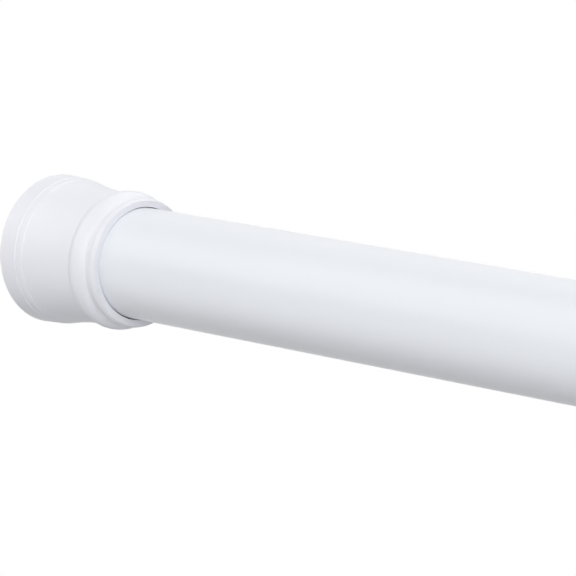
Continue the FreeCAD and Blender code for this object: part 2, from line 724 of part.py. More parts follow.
def make_push_nut():
    """The push nut, whose slits make teeth that bite on the tenon."""
    outside_r = dims.tenon_r + dims.push_nut_rise
    place = dims.spindle_x + dims.push_nut_at
    body = make_ring("push_nut", place, dims.tenon_r, outside_r, dims.push_nut_width)
    slit = new_sketch(body, "push_nut_slit", "YZ_Plane")
    draw_slot(slit, dims.tenon_r + dims.push_nut_rise / 2, dims.push_nut_slit)
    first = cut(body, slit, dims.push_nut_width * THROUGH)
    pattern = body.newObject("PartDesign::PolarPattern", "push_nut_slits")
    pattern.Originals = [first]
    pattern.Axis = (origin_feature(body, "X_Axis"), [""])
    pattern.Angle = 360
    pattern.Occurrences = SLIT_COUNT
    body.Tip = pattern
    return body


def make_guide_plug():
    """The plug in the inner tube's inner end, with a hole that is keyed to the spindle's flats."""
    body = new_body("guide_plug", dims.spindle_x + dims.guide_at)
    length = dims.guide_flange + dims.guide_depth
    flange_r = dims.bore_r - dims.guide_play
    corners = [(0, 0), (0, flange_r), (dims.guide_flange, flange_r), (dims.guide_flange, dims.inner_bore_r)]
    corners += crimp_groove(dims.guide_flange + dims.guide_depth / 2, dims.inner_bore_r)
    corners += [
        (length - dims.plug_lead, dims.inner_bore_r),
        (length, dims.inner_bore_r - dims.plug_lead),
        (length, 0),
    ]
    turn(body, corners)
    hole = new_sketch(body, "guide_plug_hole", "YZ_Plane")
    draw_double_flat(hole, dims.spindle_r + dims.run_play, dims.spindle_flats + dims.run_play * 2)
    cut(body, hole, length * THROUGH)
    return body


def make_spring_follower():
    """The disc that pushes on the spring, with a spigot inside its first turns."""
    body = new_body("spring_follower", dims.spindle_x + dims.follower_at)
    disc_r = dims.inner_bore_r - dims.follower_play
    end = dims.follower_disc + dims.spigot_length
    turn(body, [
        (0, dims.tenon_r),
        (0, disc_r),
        (dims.follower_disc, disc_r),
        (dims.follower_disc, dims.spigot_r),
        (end - dims.plug_lead, dims.spigot_r),
        (end, dims.spigot_r - dims.plug_lead),
        (end, dims.tenon_r),
    ])
    return body


def make_spring_seat():
    """The plug that is crimped in the inner tube and carries the spring's other end."""
    body = new_body("spring_seat", dims.spindle_x + dims.seat_at - dims.spigot_length)
    end = dims.spigot_length + dims.seat_length
    corners = [
        (0, 0),
        (0, dims.spigot_r - dims.plug_lead),
        (dims.plug_lead, dims.spigot_r),
        (dims.spigot_length, dims.spigot_r),
        (dims.spigot_length, dims.inner_bore_r),
    ]
    corners += crimp_groove(dims.spigot_length + dims.seat_length / 2, dims.inner_bore_r)
    corners += [(end, dims.inner_bore_r), (end, 0)]
    turn(body, corners)
    return body


def make_thrust_spring():
    """The compression spring, with both ends ground flat."""
    body = new_body("thrust_spring", dims.spindle_x + dims.spring_at)
    wire = new_sketch(body, "thrust_spring_wire")
    middle = Vector(0, dims.spring_r.value, 0)
    circle = wire.addGeometry(Part.Circle(middle, Vector(0, 0, 1), dims.wire_r.value))
    fix_point(wire, circle, 3, 0, dims.spring_r, "_wire")
    bind(wire, "wire", Sketcher.Constraint("Radius", circle, dims.wire_r.value), dims.wire_r)
    helix = body.newObject("PartDesign::AdditiveHelix", "thrust_spring_coils")
    helix.Profile = wire
    helix.ReferenceAxis = (origin_feature(body, "X_Axis"), [""])
    helix.Mode = "pitch-height-angle"
    helix.setExpression("Pitch", dims.spring_pitch.text)
    helix.setExpression("Height", dims.spring_length.text)
    left = dims.spring_wire * -1
    right = dims.spring_length + dims.spring_wire
    for name, place in (("thrust_spring_left_end", left), ("thrust_spring_right_end", right)):
        end = new_sketch(body, name, "YZ_Plane", place)
        draw_circle(end, dims.inner_bore_r)
        cut(body, end, dims.spring_wire * 2)
    return body


def make_parts():
    """Every sub-part of the rod, left end first."""
    right_plug_x = dims.spindle_x + dims.right_plug_at
    return [
        make_foot("left_foot", None, dims.tube_r, False),
        make_end_cap("left_end_cap", dims.cap_setback, dims.tube_r, False),
        make_end_plug("left_end_plug", dims.left_plug_x, dims.tube_r, dims.bore_r, False),
        make_outer_tube(),
        make_mouth_bush(),
        make_spindle_clip(),
        make_wedge_nut(),
        make_lock_sleeve(),
        make_drag_ring(),
        make_thrust_washer(),
        make_lock_spindle(),
        make_guide_plug(),
        make_inner_tube(),
        make_spring_follower(),
        make_push_nut(),
        make_thrust_spring(),
        make_spring_seat(),
        make_end_plug("right_end_plug", right_plug_x, dims.inner_r, dims.inner_bore_r, True),
        make_foot("right_foot", dims.rod_length, dims.inner_r, True),
        make_end_cap("right_end_cap", dims.rod_length - dims.cap_setback, dims.inner_r, True),
    ]


def check_document(parts):
    """Stop before anything is written if an object failed or a sub-part isn't one sound solid."""
    for item in doc.Objects:
        if "Invalid" in item.State or "Error" in item.State:
            raise RuntimeError(item.Name + " failed: " + str(item.State))
    for item in parts:
        shape = item.Shape
        if shape.isNull() or not shape.isValid() or len(shape.Solids) != 1 or shape.Volume <= 0:
            raise RuntimeError(item.Label + " is not one sound solid")


def main():
    parts = make_parts()
    doc.recompute()
    check_document(parts)
    os.makedirs("parts", exist_ok=True)
    for item in parts:
        item.Shape.exportStep(os.path.join("parts", item.Label + ".step"))
        print(item.Label, round(item.Shape.Volume, 1))
    print("rod length", round(dims.rod_length.value, 3))


main()
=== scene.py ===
import json
import math
from itertools import pairwise

import bmesh
import bpy
from bpy.props import FloatProperty, FloatVectorProperty, IntProperty, PointerProperty
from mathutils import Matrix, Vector

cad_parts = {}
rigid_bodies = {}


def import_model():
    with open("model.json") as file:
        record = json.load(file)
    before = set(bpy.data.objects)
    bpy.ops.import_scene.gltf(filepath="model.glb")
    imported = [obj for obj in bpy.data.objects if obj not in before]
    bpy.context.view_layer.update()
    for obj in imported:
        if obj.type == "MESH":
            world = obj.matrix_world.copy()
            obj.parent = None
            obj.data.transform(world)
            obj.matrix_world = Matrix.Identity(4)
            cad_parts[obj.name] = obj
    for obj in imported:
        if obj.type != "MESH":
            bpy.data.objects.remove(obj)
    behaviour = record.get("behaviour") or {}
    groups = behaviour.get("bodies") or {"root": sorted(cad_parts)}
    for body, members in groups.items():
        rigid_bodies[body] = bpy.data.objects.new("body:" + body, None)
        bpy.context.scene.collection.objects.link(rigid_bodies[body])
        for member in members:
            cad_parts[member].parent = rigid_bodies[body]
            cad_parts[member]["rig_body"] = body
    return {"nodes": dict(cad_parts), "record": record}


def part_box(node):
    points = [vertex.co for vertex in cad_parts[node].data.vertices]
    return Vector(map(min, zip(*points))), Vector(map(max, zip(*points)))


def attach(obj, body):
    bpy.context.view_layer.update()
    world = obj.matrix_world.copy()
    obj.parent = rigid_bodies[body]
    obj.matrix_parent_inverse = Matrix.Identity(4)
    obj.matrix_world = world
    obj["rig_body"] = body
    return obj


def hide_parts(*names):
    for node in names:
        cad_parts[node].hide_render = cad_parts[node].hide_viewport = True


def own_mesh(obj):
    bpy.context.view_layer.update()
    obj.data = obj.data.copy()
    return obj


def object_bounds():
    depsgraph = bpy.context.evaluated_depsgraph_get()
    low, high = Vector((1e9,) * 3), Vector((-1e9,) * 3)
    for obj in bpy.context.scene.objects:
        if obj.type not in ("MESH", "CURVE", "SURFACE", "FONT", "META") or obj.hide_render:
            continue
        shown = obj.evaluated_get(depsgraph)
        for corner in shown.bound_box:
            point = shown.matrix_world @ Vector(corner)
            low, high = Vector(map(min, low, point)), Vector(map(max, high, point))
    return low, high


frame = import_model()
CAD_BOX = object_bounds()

bl_info = {
    "name": "Spring Tension Rod",
    "version": (1, 0, 0),
    "blender": (4, 5, 0),
    "location": "3D View > Sidebar > Tension Rod",
    "description": "Finishes a telescoping tension rod around its fixed frame and sets it in a plain studio",
    "category": "Add Mesh",
}

MM = 0.001
FULL_TURN = 2 * math.pi

# Faces that meet at more than this angle keep a crisp edge.
CRISP_ANGLE = math.radians(40)

# A tube's weld seam is turned away from the viewer, low on the far side.
SEAM_ANGLE = math.radians(-50)

# The screw's lead is what its nut travels in one turn, which the frame states as a coupling.
WEDGE_RATIO = frame["record"]["behaviour"]["couplings"][0]["ratio"]
SCREW_LEAD = abs(WEDGE_RATIO) * FULL_TURN

# How steep the sides of the thread are: with 0.5 the groove is a plain wave, and with more it has a flat
# crest and floor.
THREAD_FLANK = 0.9

# Points within this share of a tube's length from its end belong to that end.
END_SHARE = 1e-4

# Lengths in metres that agree to this many decimals, a micrometre, are the same.
SAME_PLACES = 6

# The floor is a polygon that is all white from this share of its radius on.
FLOOR_SIDES = 128
FLOOR_WHITE_SHARE = 0.95

# The camera has a full-frame sensor, in millimetres, and sees between these distances, in metres.
SENSOR_WIDTH = 36
CLIP_NEAR = 0.05
CLIP_FAR = 20

WHITE = (1, 1, 1, 1)


def hex_to_linear(code):
    """Turn an sRGB hex colour such as #F0F3F8 into linear red, green, blue and alpha."""
    linear = []
    for start in (1, 3, 5):
        level = int(code[start:start + 2], 16) / 255
        linear.append(level / 12.92 if level <= 0.04045 else ((level + 0.055) / 1.055) ** 2.4)
    return (*linear, 1.0)


def size_property(name, description, default):
    """A length in metres that the panel shows with its unit."""
    return FloatProperty(
        name=name, description=description, default=default, min=0.0, precision=5, unit="LENGTH"
    )


def colour_property(name, description, code):
    """A colour that the panel shows as a swatch, given as an sRGB hex value."""
    return FloatVectorProperty(
        name=name, description=description, default=hex_to_linear(code), size=4,
        min=0.0, max=1.0, subtype="COLOR",
    )


def glow_property(name, what, default):
    """The brightness of a light, where 1 is as bright as white paper in full light."""
    return FloatProperty(name=name, description="Brightness of the " + what, default=default, min=0.0)


class RodSizes(bpy.types.PropertyGroup):
    """Sizes of the detail that is added to the fixed frame."""

    segments: IntProperty(name="Segments", description="Sides of a turned piece", default=192, min=24)
    cut_edge: size_property("Cut edge", "Round of a tube's deburred ends", 0.2 * MM)
    weld_width: size_property("Weld width", "Width of the seam along a tube", 1.6 * MM)
    weld_depth: size_property("Weld depth", "Depth of the seam along a tube", 0.05 * MM)
    crimp_floor: size_property("Crimp floor", "Width of a rolled crimp's floor", 1.6 * MM)
    crimp_slope: size_property("Crimp slope", "Length of a rolled crimp's side", 0.8 * MM)
    crimp_depth: size_property("Crimp depth", "Depth of a rolled crimp", 0.7 * MM)
    thread_depth: size_property("Thread depth", "Depth of the lock screw's thread", 0.6 * MM)
    thread_row: size_property("Thread row", "Length of one row of the thread's mesh", 0.1 * MM)
    spindle_flats: size_property("Spindle flats", "Size across the spindle's flats", 6.4 * MM)
    wire_sides: IntProperty(name="Wire sides", description="Sides of the spring's wire", default=20, min=8)
    turn_steps: IntProperty(
        name="Turn steps", description="Steps in one turn of the spring", default=72, min=16
    )
    spring_pitch: size_property("Spring pitch", "Distance between the spring's turns", 6.2 * MM)
    spring_wire: size_property("Spring wire", "Diameter of the spring's wire", 1.8 * MM)


class RodFinish(bpy.types.PropertyGroup):
    """Colours of the rod's materials."""

    enamel: colour_property("Enamel", "Baked enamel on the tubes", "#F0F3F8")
    cap: colour_property("Caps", "Moulded plastic of the end caps", "#EDEEF4")
    bush: colour_property("Bush", "Moulded plastic of the mouth bush", "#EBEBE9")
    foot: colour_property("Feet", "Rubber of the wall feet", "#DAD8D1")
    drag_ring: colour_property("Drag ring", "Rubber of the drag ring", "#1A1A1B")
    nylon: colour_property("Nylon", "Natural nylon of the plugs", "#E2DDCD")
    acetal: colour_property("Acetal", "Black acetal of the lock", "#212124")
    zinc: colour_property("Zinc", "Zinc plating of the spindle", "#C9CDD3")
    spring: colour_property("Spring steel", "Oiled steel of the spring", "#8B8C90")


class RodStage(bpy.types.PropertyGroup):
    """Camera, floor and light."""

    aim_x: size_property("Aim", "Point along the rod that the camera looks at", 80.02 * MM)
    aim_z: size_property("Aim height", "Height of that point over the rod's axis", 0.47 * MM)
    distance: size_property("Distance", "Distance of the camera from that point", 928.6 * MM)
    azimuth: FloatProperty(
        name="Azimuth", description="Camera's turn about the rod", default=math.radians(47.12),
        subtype="ANGLE",
    )
    elevation: FloatProperty(
        name="Elevation", description="Camera's height", default=math.radians(9.8), subtype="ANGLE"
    )
    lens: FloatProperty(name="Lens", description="Focal length", default=265.51, unit="CAMERA")
    floor_drop: size_property("Floor drop", "Height of the rod's axis over the floor", 0.45)
    floor_radius: size_property("Floor radius", "Radius of the floor", 1.5)
    floor_fade: size_property("Floor fade", "Radius where the floor starts to melt into the backdrop", 0.45)
    floor: colour_property("Floor", "Pale studio floor", "#D3D3D4")
    front_high: glow_property("Front", "softbox in front of the rod, high up", 1.2)
    right_front: glow_property("Right", "softbox in front of the rod's right end", 4.23)
    left_front: glow_property("Left", "softbox in front of the rod's left end", 1.235)
    back_high: glow_property("Back", "softbox behind the rod, high up", 1.94)
    left_low: glow_property("Low left", "weak fill below the rod's left end", 0.28)


def sizes():
    return bpy.context.scene.tension_rod_sizes


def finish():
    return bpy.context.scene.tension_rod_finish


def stage():
    return bpy.context.scene.tension_rod_stage


def add_node(tree, kind, inputs=None, **settings):
    """Add a node: settings are its properties, and inputs are values or other nodes' outputs, by socket."""
    node = tree.nodes.new(kind)
    for name, value in settings.items():
        setattr(node, name, value)
    for socket, value in (inputs or {}).items():
        if isinstance(value, bpy.types.NodeSocket):
            tree.links.new(value, node.inputs[socket])
        else:
            node.inputs[socket].default_value = value
    return node


def new_material(name):
    """An empty node material, its tree and its output node."""
    material = bpy.data.materials.new(name)
    material.use_nodes = True
    tree = material.node_tree
    tree.nodes.clear()
    return material, tree, tree.nodes.new("ShaderNodeOutputMaterial")


def shaded(colour, factor):
    """A colour made lighter or darker by a factor, its alpha kept."""
    return (*(min(1.0, level * factor) for level in colour[:3]), 1.0)


def per_metre(millimetres):
    """The scale of a pattern whose features are this many millimetres apart."""
    return 1 / (millimetres * MM)


def baked_enamel():
    """White enamel sprayed on steel tube and baked: a smooth satin gloss with a faint orange peel."""
    material, tree, output = new_material("baked_white_enamel")
    colour = finish().enamel
    place = add_node(tree, "ShaderNodeTexCoord").outputs["Object"]
    # The sprayed film varies a little over a few centimetres.
    cloud = add_node(tree, "ShaderNodeTexNoise", {"Vector": place, "Scale": per_metre(30), "Detail": 3.0})
    tone = add_node(tree, "ShaderNodeMix", {
        "Factor": cloud.outputs["Fac"], "A": shaded(colour, 0.985), "B": shaded(colour, 1.01),
    }, data_type="RGBA")
    gloss = add_node(tree, "ShaderNodeMapRange", {
        "Value": cloud.outputs["Fac"], "To Min": 0.285, "To Max": 0.335,
    })
    # Orange peel has cells of about a millimetre and is only a few micrometres high.
    peel = add_node(tree, "ShaderNodeTexNoise", {"Vector": place, "Scale": per_metre(1.2), "Detail": 1.0})
    relief = add_node(tree, "ShaderNodeBump", {
        "Height": peel.outputs["Fac"], "Strength": 0.25, "Distance": 0.004 * MM,
    })
    shader = add_node(tree, "ShaderNodeBsdfPrincipled", {
        "Base Color": tone.outputs["Result"], "Roughness": gloss.outputs["Result"],
        "Normal": relief.outputs["Normal"], "IOR": 1.5,
    })
    tree.links.new(shader.outputs["BSDF"], output.inputs["Surface"])
    return material


def moulded_plastic(name, colour, roughness, grain, height):
    """Plastic moulded in a spark-eroded tool: even satin colour with a fine grain and faint flow clouds.

    The grain has this spacing and height in millimetres, and the clouds are about 12 mm wide.
    """
    material, tree, output = new_material(name)
    place = add_node(tree, "ShaderNodeTexCoord").outputs["Object"]
    flow = add_node(tree, "ShaderNodeTexNoise", {"Vector": place, "Scale": per_metre(12), "Detail": 2.0})
    tone = add_node(tree, "ShaderNodeMix", {
        "Factor": flow.outputs["Fac"], "A": shaded(colour, 0.975), "B": shaded(colour, 1.015),
    }, data_type="RGBA")
    gloss = add_node(tree, "ShaderNodeMapRange", {
        "Value": flow.outputs["Fac"], "To Min": roughness - 0.03, "To Max": roughness + 0.03,
    })
    spark = add_node(tree, "ShaderNodeTexNoise", {"Vector": place, "Scale": per_metre(grain), "Detail": 2.0})
    relief = add_node(tree, "ShaderNodeBump", {
        "Height": spark.outputs["Fac"], "Strength": 0.3, "Distance": height * MM,
    })
    shader = add_node(tree, "ShaderNodeBsdfPrincipled", {
        "Base Color": tone.outputs["Result"], "Roughness": gloss.outputs["Result"],
        "Normal": relief.outputs["Normal"], "IOR": 1.52,
    })
    tree.links.new(shader.outputs["BSDF"], output.inputs["Surface"])
    return material


def drawn_metal(name, colour, roughness, along, across):
    """Bare or plated metal with fine marks of its making, long one way and narrow the other.

    The marks have these sizes along and across the rod in millimetres, and faint clouds are 6 mm wide.
    """
    material, tree, output = new_material(name)
    place = add_node(tree, "ShaderNodeTexCoord").outputs["Object"]
    marks_place = add_node(tree, "ShaderNodeMapping", {
        "Vector": place, "Scale": (per_metre(along), per_metre(across), per_metre(across)),
    })
    marks = add_node(tree, "ShaderNodeTexNoise", {
        "Vector": marks_place.outputs["Vector"], "Scale": 1.0, "Detail": 3.0,
    })
    cloud = add_node(tree, "ShaderNodeTexNoise", {"Vector": place, "Scale": per_metre(6), "Detail": 3.0})
    tone = add_node(tree, "ShaderNodeMix", {
        "Factor": cloud.outputs["Fac"], "A": shaded(colour, 0.8), "B": shaded(colour, 1.1),
    }, data_type="RGBA")
    gloss = add_node(tree, "ShaderNodeMapRange", {
        "Value": marks.outputs["Fac"], "To Min": roughness - 0.07, "To Max": roughness + 0.07,
    })
    relief = add_node(tree, "ShaderNodeBump", {
        "Height": marks.outputs["Fac"], "Strength": 0.3, "Distance": 0.01 * MM,
    })
    shader = add_node(tree, "ShaderNodeBsdfPrincipled", {
        "Base Color": tone.outputs["Result"], "Roughness": gloss.outputs["Result"],
        "Normal": relief.outputs["Normal"], "Metallic": 1.0,
    })
    tree.links.new(shader.outputs["BSDF"], output.inputs["Surface"])
    return material


def dress(node, material):
    """Give a frame node its finished material."""
    slots = frame["nodes"][node].data.materials
    slots.clear()
    slots.append(material)


def end_radii(node):
    """The bore and the outside radius of a tube, at its lower end."""
    low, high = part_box(node)
    reach = (high.x - low.x) * END_SHARE
    ends = [vertex.co for vertex in frame["nodes"][node].data.vertices if vertex.co.x < low.x + reach]
    radii = [math.hypot(co.y, co.z) for co in ends]
    return min(radii), max(radii)


def new_piece(name, mesh, node, material):
    """A finished piece that stands for a frame node, in its place and on its body."""
    mesh.materials.append(material)
    piece = bpy.data.objects.new(name, mesh)
    bpy.context.scene.collection.objects.link(piece)
    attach(piece, frame["nodes"][node]["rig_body"])
    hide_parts(node)
    return piece


def skin_rings(name, rings, closed):
    """A mesh over rings of points; closed joins the last ring to the first, or else the ends are capped."""
    made = bmesh.new()
    loops = [[made.verts.new(point) for point in ring] for ring in rings]
    pairs = list(zip(loops, loops[1:]))
    if closed:
        pairs.append((loops[-1], loops[0]))
    else:
        made.faces.new(loops[0])
        made.faces.new(loops[-1])
    for ring, following in pairs:
        for step in range(len(ring)):
            after = (step + 1) % len(ring)
            made.faces.new((ring[step], ring[after], following[after], following[step]))
    bmesh.ops.recalc_face_normals(made, faces=made.faces)
    mesh = bpy.data.meshes.new(name)
    made.to_mesh(mesh)
    made.free()
    mesh.shade_smooth()
    mesh.set_sharp_from_angle(angle=CRISP_ANGLE)
    return mesh


def turned_mesh(name, outline, shape, closed=True):
    """Turn an outline of (x, radius) about the rod's axis; shape gives the radius at a place and angle."""
    segments = sizes().segments
    rings = []
    for x, radius in outline:
        ring = []
        for step in range(segments):
            angle = FULL_TURN * step / segments
            reach = shape(x, radius, angle)
            ring.append((x, reach * math.cos(angle), reach * math.sin(angle)))
        rings.append(ring)
    return skin_rings(name, rings, closed)


def rounded_end(x, bore, outside, direction):
    """A tube's deburred end, from bore to outside; direction is 1 at the right end and -1 at the left."""
    round_steps = 4
    edge = sizes().cut_edge
    points = []
    for centre, first in ((bore + edge, 180), (outside - edge, 90)):
        for step in range(round_steps + 1):
            angle = math.radians(first - 90 * step / round_steps)
            points.append((x - direction * edge * (1 - math.sin(angle)), centre + edge * math.cos(angle)))
    return points


def crimp_shape(middle, radius):
    """A crimp rolled into a tube: a smooth waist, as points from left to right."""
    slope_steps = 8
    near = sizes().crimp_floor / 2
    points = []
    for side in (-1, 1):
        for step in range(slope_steps + 1):
            share = step / slope_steps if side > 0 else 1 - step / slope_steps
            sunk = sizes().crimp_depth * (1 + math.cos(math.pi * share)) / 2
            points.append((middle + side * (near + sizes().crimp_slope * share), radius - sunk))
    return points


def tube_outline(node, crimps):
    """A tube's section: outside from left to right, right end, bore from right to left, left end."""
    low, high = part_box(node)
    bore, outside = end_radii(node)
    outline = rounded_end(low.x, bore, outside, -1)
    for middle in crimps:
        outline += crimp_shape(middle, outside)
    outline += reversed(rounded_end(high.x, bore, outside, 1))
    for middle in reversed(crimps):
        outline += reversed(crimp_shape(middle, bore))
    return outline


def enamelled_tube(node, crimps, material):
    """A welded tube with deburred ends and its crimps, the seam left as a shallow line low along the back."""
    bore, outside = end_radii(node)
    half_seam = sizes().weld_width / 2 / outside

    def with_seam(x, radius, angle):
        away = abs(math.remainder(angle - SEAM_ANGLE, FULL_TURN)) / half_seam
        if away >= 1 or radius < (bore + outside) / 2:
            return radius
        return radius - sizes().weld_depth * (1 + math.cos(math.pi * away)) / 2

    mesh = turned_mesh(node + "_enamelled", tube_outline(node, crimps), with_seam)
    return new_piece(node + "_enamelled", mesh, node, material)


def stepped_outline(node):
    """A stepped shaft's outline, read from the frame from left to right, with both radii of each step."""
    radii = {}
    for vertex in frame["nodes"][node].data.vertices:
        radius = round(math.hypot(vertex.co.y, vertex.co.z), SAME_PLACES)
        radii.setdefault(round(vertex.co.x, SAME_PLACES), set()).add(radius)
    outline = []
    for x in sorted(radii):
        step = sorted({min(radii[x]), max(radii[x])})
        if outline and abs(step[-1] - outline[-1][1]) < abs(step[0] - outline[-1][1]):
            step.reverse()
        outline += [(x, radius) for radius in step]
    return outline


def threaded_spindle(material):
    """The lock's screw: a stepped shaft with a right-hand thread under the nut and flats past the collar."""
    size = sizes()
    steps = stepped_outline("lock_spindle")
    _, nut_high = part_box("wedge_nut")
    thread_end = nut_high.x + SCREW_LEAD
    shaft_r = max(radius for x, radius in steps if x < thread_end)
    collar_end = max(x for x, radius in steps if radius > shaft_r)
    half_flats = size.spindle_flats / 2

    outline = []
    for (x, radius), (next_x, next_radius) in pairwise(steps):
        rows = 1
        if x < thread_end and radius == next_radius:
            rows = round((min(next_x, thread_end) - x) / size.thread_row)
        outline += [(x + size.thread_row * row, radius) for row in range(rows)]
    outline.append(steps[-1])

    def cut(x, radius, angle):
        if x < thread_end:
            wave = math.cos(FULL_TURN * x / SCREW_LEAD - angle)
            groove = min(max(0.5 + THREAD_FLANK * wave, 0.0), 1.0)
            run_out = min((thread_end - x) / SCREW_LEAD, 1.0)
            return min(radius, shaft_r - size.thread_depth * groove * run_out)
        side = abs(math.sin(angle))
        if x >= collar_end and radius <= shaft_r and radius * side > half_flats:
            return half_flats / side
        return radius

    mesh = turned_mesh("lock_spindle_threaded", outline, cut, closed=False)
    return new_piece("lock_spindle_threaded", mesh, "lock_spindle", material)


class TENSION_ROD_OT_tubes(bpy.types.Operator):
    """Make the two enamelled tubes"""

    bl_idname = "tension_rod.tubes"
    bl_label = "Tubes"

    def execute(self, context):
        enamel = baked_enamel()
        inner_low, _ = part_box("inner_tube")
        _, guide_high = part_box("guide_plug")
        _, spring_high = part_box("thrust_spring")
        _, seat_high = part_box("spring_seat")
        crimps = [(inner_low.x + guide_high.x) / 2, (spring_high.x + seat_high.x) / 2]
        enamelled_tube("outer_tube", [], enamel)
        enamelled_tube("inner_tube", crimps, enamel)
        return {"FINISHED"}


class TENSION_ROD_OT_end_caps(bpy.types.Operator):
    """Finish the two bell-shaped end caps"""

    bl_idname = "tension_rod.end_caps"
    bl_label = "End caps"

    def execute(self, context):
        plastic = moulded_plastic(
            "moulded_white_polystyrene", finish().cap, roughness=0.4, grain=0.5, height=0.006
        )
        for node in ("left_end_cap", "right_end_cap"):
            dress(node, plastic)
        return {"FINISHED"}


class TENSION_ROD_OT_mouth_bush(bpy.types.Operator):
    """Finish the bush in the outer tube's mouth"""

    bl_idname = "tension_rod.mouth_bush"
    bl_label = "Mouth bush"

    def execute(self, context):
        plastic = moulded_plastic(
            "moulded_white_polypropylene", finish().bush, roughness=0.5, grain=0.4, height=0.01
        )
        dress("mouth_bush", plastic)
        return {"FINISHED"}


class TENSION_ROD_OT_feet(bpy.types.Operator):
    """Finish the rubber feet and the drag ring"""

    bl_idname = "tension_rod.feet"
    bl_label = "Rubber feet"

    def execute(self, context):
        foot_rubber = moulded_plastic(
            "moulded_pale_rubber", finish().foot, roughness=0.75, grain=0.3, height=0.02
        )
        for node in ("left_foot", "right_foot"):
            dress(node, foot_rubber)
        ring_rubber = moulded_plastic(
            "moulded_black_rubber", finish().drag_ring, roughness=0.6, grain=0.2, height=0.02
        )
        dress("drag_ring", ring_rubber)
        return {"FINISHED"}


class TENSION_ROD_OT_plugs(bpy.types.Operator):
    """Finish the nylon plugs, guide, follower and seat"""

    bl_idname = "tension_rod.plugs"
    bl_label = "Nylon plugs"

    def execute(self, context):
        nylon = moulded_plastic(
            "moulded_natural_nylon", finish().nylon, roughness=0.42, grain=0.6, height=0.01
        )
        for node in ("left_end_plug", "right_end_plug", "guide_plug", "spring_follower", "spring_seat"):
            dress(node, nylon)
        return {"FINISHED"}


class TENSION_ROD_OT_lock(bpy.types.Operator):
    """Finish the lock's sleeve and wedge nut"""

    bl_idname = "tension_rod.lock"
    bl_label = "Lock"

    def execute(self, context):
        acetal = moulded_plastic(
            "moulded_black_acetal", finish().acetal, roughness=0.36, grain=0.6, height=0.008
        )
        for node in ("lock_sleeve", "wedge_nut"):
            dress(node, acetal)
        return {"FINISHED"}


class TENSION_ROD_OT_spindle(bpy.types.Operator):
    """Make the threaded spindle and finish its washer, clip and push nut"""

    bl_idname = "tension_rod.spindle"
    bl_label = "Spindle"

    def execute(self, context):
        zinc = drawn_metal("zinc_plated_turned_steel", finish().zinc, roughness=0.26, along=0.15, across=3)
        steel = drawn_metal("oiled_spring_steel_strip", finish().spring, roughness=0.34, along=2, across=0.2)
        threaded_spindle(zinc)
        dress("thrust_washer", zinc)
        for node in ("spindle_clip", "push_nut"):
            dress(node, steel)
        return {"FINISHED"}


class TENSION_ROD_OT_spring(bpy.types.Operator):
    """Wind the compression spring"""

    bl_idname = "tension_rod.spring"
    bl_label = "Spring"

    def execute(self, context):
        steel = drawn_metal("oiled_drawn_spring_wire", finish().spring, roughness=0.32, along=0.2, across=2)
        low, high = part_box("thrust_spring")
        size = sizes()
        wire_r = size.spring_wire / 2
        coil_r = max(abs(low.y), abs(high.y), abs(low.z), abs(high.z)) - wire_r
        turns = (high.x - low.x) / size.spring_pitch
        steps = round(turns * size.turn_steps)
        rings = []
        for step in range(steps + 1):
            angle = FULL_TURN * turns * step / steps
            middle_x = low.x + (high.x - low.x) * step / steps
            ring = []
            for side in range(size.wire_sides):
                round_angle = FULL_TURN * side / size.wire_sides
                radius = coil_r + wire_r * math.cos(round_angle)
                x = min(max(middle_x + wire_r * math.sin(round_angle), low.x), high.x)
                ring.append((x, radius * math.cos(angle), radius * math.sin(angle)))
            rings.append(ring)
        mesh = skin_rings("thrust_spring_wound", rings, False)
        piece = new_piece("thrust_spring_wound", mesh, "thrust_spring", steel)
        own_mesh(piece)
        return {"FINISHED"}


# Each softbox has its direction from the rod's middle, its distance, its width and its height, in metres.
SOFTBOXES = (
    ("front_high", (0, -1, 0.8), 1.4, 1.6, 1.2),
    ("right_front", (1, -0.8, 0.4), 2.2, 1.6, 1.4),
    ("left_front", (-1, -0.85, 0.72), 1.1, 1.2, 0.8),
    ("back_high", (0, 0.8, 1), 1.2, 1.6, 1.2),
    ("left_low", (-1, -0.53, -0.38), 0.784, 0.5, 0.4),
)


def add_softbox(name, direction, distance, width, height, glow):
    """A soft lamp that faces the rod's middle; a glow of 1 is as bright as white paper in full light."""
    lamp = bpy.data.lights.new(name, "AREA")
    lamp.shape = "RECTANGLE"
    lamp.size = width
    lamp.size_y = height
    lamp.energy = glow * math.pi * width * height
    low, high = CAD_BOX
    away = Vector(direction).normalized()
    box = bpy.data.objects.new(name, lamp)
    box.location = (low + high) / 2 + away * distance
    box.rotation_mode = "QUATERNION"
    box.rotation_quaternion = (-away).to_track_quat("-Z", "Y")
    box.visible_camera = False
    bpy.context.scene.collection.objects.link(box)
    return box


def seen_ray(tree):
    """1 for rays that show the backdrop itself: from the camera, in reflections and through glass."""
    path = add_node(tree, "ShaderNodeLightPath")
    seen = path.outputs["Is Camera Ray"]
    for name in ("Is Glossy Ray", "Is Transmission Ray"):
        either = add_node(tree, "ShaderNodeMath", {0: seen, 1: path.outputs[name]}, operation="MAXIMUM")
        seen = either.outputs[0]
    return seen


def white_world():
    """A backdrop that is white where it is seen, also in reflections, and sheds no other light."""
    world = bpy.data.worlds.new("white_studio")
    world.use_nodes = True
    tree = world.node_tree
    tree.nodes.clear()
    backdrop = add_node(tree, "ShaderNodeBackground", {"Color": WHITE, "Strength": seen_ray(tree)})
    add_node(tree, "ShaderNodeOutputWorld", {"Surface": backdrop.outputs["Background"]})
    bpy.context.scene.world = world


